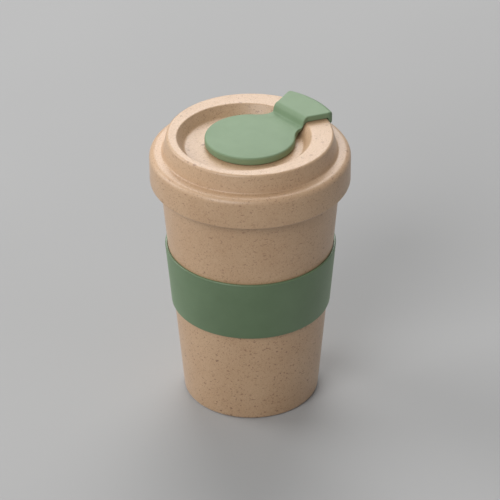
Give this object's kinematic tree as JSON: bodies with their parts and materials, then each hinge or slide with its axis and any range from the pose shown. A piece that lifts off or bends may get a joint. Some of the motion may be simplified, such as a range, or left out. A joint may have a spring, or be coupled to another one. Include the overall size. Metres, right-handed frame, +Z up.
{
  "type": "lidded drinking tumbler",
  "caption": "Tapered wheat-straw plastic tumbler with a silicone grip band, a push-on lid with a raised drinking ring, and a silicone flap that plugs the sip slot.",
  "frame": {"origin": "centre of the cup's foot, on the surface it stands on", "axes": "+Z up along the cup's axis, +X towards the flap's lip and the sip slot"},
  "size_m": [0.0948, 0.0948, 0.1442],
  "materials": {
    "wheat_straw": "matte speckled wheat-straw plastic, warm tan with fine brown specks",
    "band_silicone": "matte sage-green silicone",
    "flap_silicone": "matte pale sage-green silicone",
    "seal_silicone": "milky silicone"
  },
  "bodies": {
    "cup": {"cup_body": "wheat_straw"},
    "band": {"grip_band": "band_silicone"},
    "seal": {"lid_seal": "seal_silicone"},
    "lid": {"lid_shell": "wheat_straw", "flap_disc": "flap_silicone"},
    "flap": {"flap_strap": "flap_silicone"}
  },
  "joints": [
    {"name": "band_slide", "type": "slide", "parent": "cup", "child": "band", "axis": [0, 0, -1], "range_m": [0, 0.05]},
    {"name": "lid_lift", "type": "slide", "parent": "cup", "child": "seal", "axis": [0, 0, 1], "range_m": [0, 0.08]},
    {"name": "lid_turn", "type": "hinge", "parent": "seal", "child": "lid", "pos_m": [0, 0, 0.1298], "axis": [0, 0, 1], "continuous": true},
    {"name": "flap_hinge", "type": "hinge", "parent": "lid", "child": "flap", "pos_m": [0.0217, 0, 0.1396], "axis": [0, -1, 0], "range_deg": [0, 110], "stiffness_Nm_per_rad": 0.002}
  ]
}
